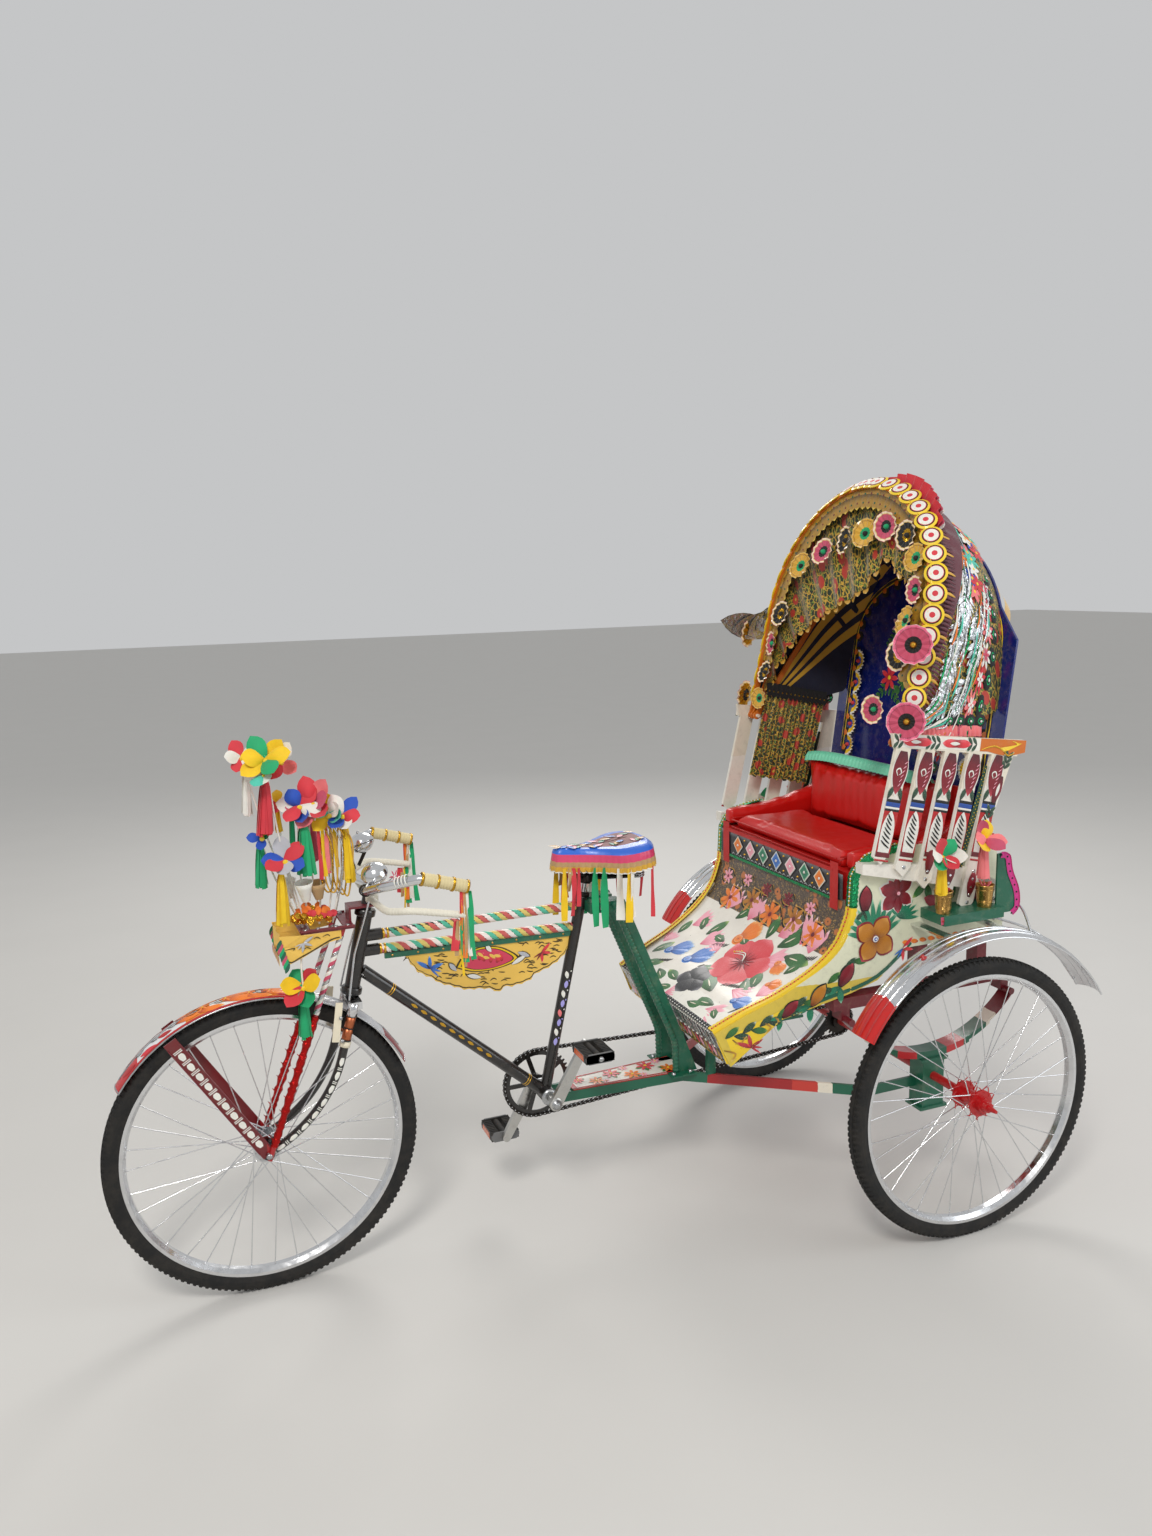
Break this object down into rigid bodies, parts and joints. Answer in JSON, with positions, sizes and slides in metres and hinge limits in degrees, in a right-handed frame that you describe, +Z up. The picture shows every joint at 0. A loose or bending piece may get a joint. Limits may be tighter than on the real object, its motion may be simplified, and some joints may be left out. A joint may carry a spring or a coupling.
{
  "type": "cycle rickshaw",
  "caption": "A decorated pedal rickshaw: a roadster front half with a passenger seat, footboard and folding hood over two sprung rear wheels.",
  "frame": {"origin": "on the ground at the middle of the whole outline", "axes": "+X forward, +Y to the rickshaw's left, +Z up"},
  "size_m": [2.349, 1.163, 1.8553],
  "materials": {
    "frame_paint": "gloss black enamel with worn edges",
    "red_paint": "gloss red enamel, brushed on",
    "green_paint": "gloss green enamel, brushed on",
    "chrome_plate": "bright plated steel",
    "dark_steel": "oiled dark steel",
    "bright_steel": "polished alloy",
    "tyre_rubber": "black ribbed rubber",
    "pedal_rubber": "moulded black rubber",
    "painted_sheet": "painted flowers on a pale ground",
    "painted_wood": "painted wooden slats",
    "seat_cover": "tight glossy red cover",
    "saddle_cover": "printed saddle cover",
    "hood_cloth": "patterned cloth with cut-out trim",
    "blue_board": "deep blue painted board",
    "brass_cup": "dull brass"
  },
  "bodies": {
    "chassis": {"main_frame": "frame_paint", "seat_post": "chrome_plate", "saddle": "saddle_cover", "seat_stays": "green_paint", "rail_left": "red_paint", "rail_right": "red_paint", "axle_box_left": "green_paint", "axle_box_right": "green_paint", "spring_left": "green_paint", "spring_right": "green_paint", "bearer_left": "red_paint", "bearer_right": "red_paint", "chain": "dark_steel", "footboard": "painted_sheet", "side_panel_left": "painted_sheet", "side_panel_right": "painted_sheet", "apron": "painted_sheet", "foot_posts": "red_paint", "seat_box": "painted_sheet", "seat_cushion": "seat_cover", "back_cushion": "seat_cover", "arm_pad_left": "seat_cover", "arm_pad_right": "seat_cover", "mudguard_rear_left": "chrome_plate", "mudguard_rear_right": "chrome_plate", "side_slats_left": "painted_wood", "side_slats_right": "painted_wood", "bow_rear": "dark_steel", "hood_rear": "hood_cloth", "back_panel": "blue_board", "shelves": "green_paint", "flower_cups": "brass_cup"},
    "steering": {"fork": "frame_paint", "mudguard_front": "chrome_plate", "guard_struts": "red_paint", "handlebar": "chrome_plate", "brake_bars": "chrome_plate", "carrier": "red_paint"},
    "front_wheel": {"wheel_front": "chrome_plate", "tyre_front": "tyre_rubber"},
    "rear_wheel_left": {"wheel_rear_left": "chrome_plate", "tyre_rear_left": "tyre_rubber"},
    "rear_axle": {"axle_shaft": "red_paint", "wheel_rear_right": "chrome_plate", "tyre_rear_right": "tyre_rubber"},
    "freewheel": {"sprocket": "dark_steel"},
    "crankset": {"cranks": "bright_steel", "chainring": "dark_steel"},
    "pedal_l": {"pedal_left": "pedal_rubber"},
    "pedal_r": {"pedal_right": "pedal_rubber"},
    "hood_middle": {"bow_mid": "dark_steel", "hood_mid": "hood_cloth"},
    "hood_fore": {"bow_front": "dark_steel", "hood_front": "hood_cloth"}
  },
  "joints": [
    {"name": "steer", "type": "hinge", "parent": "chassis", "child": "steering", "pos_m": [0.55697, 0, 0.888], "axis": [-0.2229, 0, 0.9748], "range_deg": [-40, 40]},
    {"name": "front_wheel_spin", "type": "hinge", "parent": "steering", "child": "front_wheel", "pos_m": [0.81897, 0, 0.3555], "axis": [0, 1, 0], "continuous": true},
    {"name": "rear_left_spin", "type": "hinge", "parent": "chassis", "child": "rear_wheel_left", "pos_m": [-0.80303, 0.4975, 0.3555], "axis": [0, 1, 0], "continuous": true},
    {"name": "rear_axle_spin", "type": "hinge", "parent": "chassis", "child": "rear_axle", "pos_m": [-0.80303, 0, 0.3555], "axis": [0, 1, 0], "continuous": true},
    {"name": "crank_spin", "type": "hinge", "parent": "chassis", "child": "crankset", "pos_m": [0.12697, 0, 0.346], "axis": [0, 1, 0], "continuous": true},
    {"name": "freewheel_spin", "type": "hinge", "parent": "chassis", "child": "freewheel", "pos_m": [-0.80303, -0.058, 0.3555], "axis": [0, 1, 0], "continuous": true},
    {"name": "pedal_left_spin", "type": "hinge", "parent": "crankset", "child": "pedal_l", "pos_m": [0.04447, 0.13, 0.48889], "axis": [0, 1, 0], "continuous": true},
    {"name": "pedal_right_spin", "type": "hinge", "parent": "crankset", "child": "pedal_r", "pos_m": [0.20947, -0.13, 0.20311], "axis": [0, 1, 0], "continuous": true},
    {"name": "hood_fold", "type": "hinge", "parent": "chassis", "child": "hood_middle", "pos_m": [-0.68303, 0, 1.222], "axis": [0, -1, 0], "range_deg": [0, 9]},
    {"name": "hood_front_fold", "type": "hinge", "parent": "hood_middle", "child": "hood_fore", "pos_m": [-0.68303, 0, 1.222], "axis": [0, -1, 0], "range_deg": [0, 9]}
  ],
  "couplings": [
    {"joint": "freewheel_spin", "follows": "crank_spin", "ratio": 2},
    {"joint": "hood_front_fold", "follows": "hood_fold", "ratio": 1}
  ]
}
